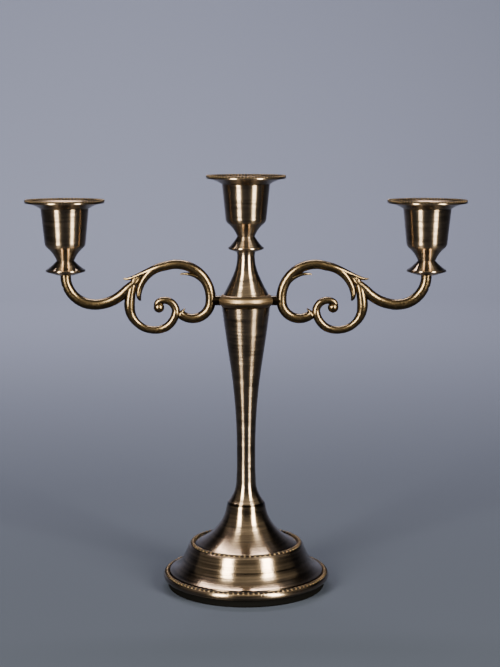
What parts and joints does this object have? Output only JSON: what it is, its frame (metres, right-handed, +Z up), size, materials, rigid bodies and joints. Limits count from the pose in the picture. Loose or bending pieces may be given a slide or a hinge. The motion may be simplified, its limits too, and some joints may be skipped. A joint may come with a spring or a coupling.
{
  "type": "tabletop candelabra",
  "caption": "Turned column on a two-tier beaded base with scrolled arms, candle cups and lift-out drip pans.",
  "frame": {"origin": "centre of the foot pad's underside", "axes": "+Z up along the stem, the two arms along X, both arms in the plane Y = 0"},
  "size_m": [0.2846, 0.109, 0.2702],
  "materials": {
    "antique_brass": "antique, darkened and finely brushed",
    "foot_pad": "matte black",
    "plated_steel": "zinc plated"
  },
  "bodies": {
    "base": {"foot_pad": "foot_pad", "base_weight": "plated_steel", "base_shell": "antique_brass", "base_lower_beading": "antique_brass", "base_upper_beading": "antique_brass", "tie_rod": "plated_steel", "tie_rod_washer": "plated_steel", "tie_rod_nut": "plated_steel", "stem": "antique_brass"},
    "arms": {"arm_ring": "antique_brass", "left_scroll_arm": "antique_brass", "left_collar": "antique_brass", "left_cup": "antique_brass", "left_cup_screw": "plated_steel", "right_scroll_arm": "antique_brass", "right_collar": "antique_brass", "right_cup": "antique_brass", "right_cup_screw": "plated_steel"},
    "top": {"top_cone": "antique_brass", "centre_collar": "antique_brass", "centre_cup": "antique_brass", "centre_cup_screw": "plated_steel"},
    "left_pan": {"left_drip_pan": "antique_brass", "left_pan_beading": "antique_brass"},
    "centre_pan": {"centre_drip_pan": "antique_brass", "centre_pan_beading": "antique_brass"},
    "right_pan": {"right_drip_pan": "antique_brass", "right_pan_beading": "antique_brass"}
  },
  "joints": [
    {"name": "arm_swivel", "type": "hinge", "parent": "base", "child": "arms", "pos_m": [0, 0, 0.1893], "axis": [0, 0, 1], "continuous": true},
    {"name": "top_lift", "type": "slide", "parent": "base", "child": "top", "axis": [0, 0, 1], "range_m": [0, 0.018]},
    {"name": "left_pan_lift", "type": "slide", "parent": "arms", "child": "left_pan", "axis": [0, 0, 1], "range_m": [0, 0.022]},
    {"name": "right_pan_lift", "type": "slide", "parent": "arms", "child": "right_pan", "axis": [0, 0, 1], "range_m": [0, 0.022]},
    {"name": "centre_pan_lift", "type": "slide", "parent": "top", "child": "centre_pan", "axis": [0, 0, 1], "range_m": [0, 0.022]}
  ]
}
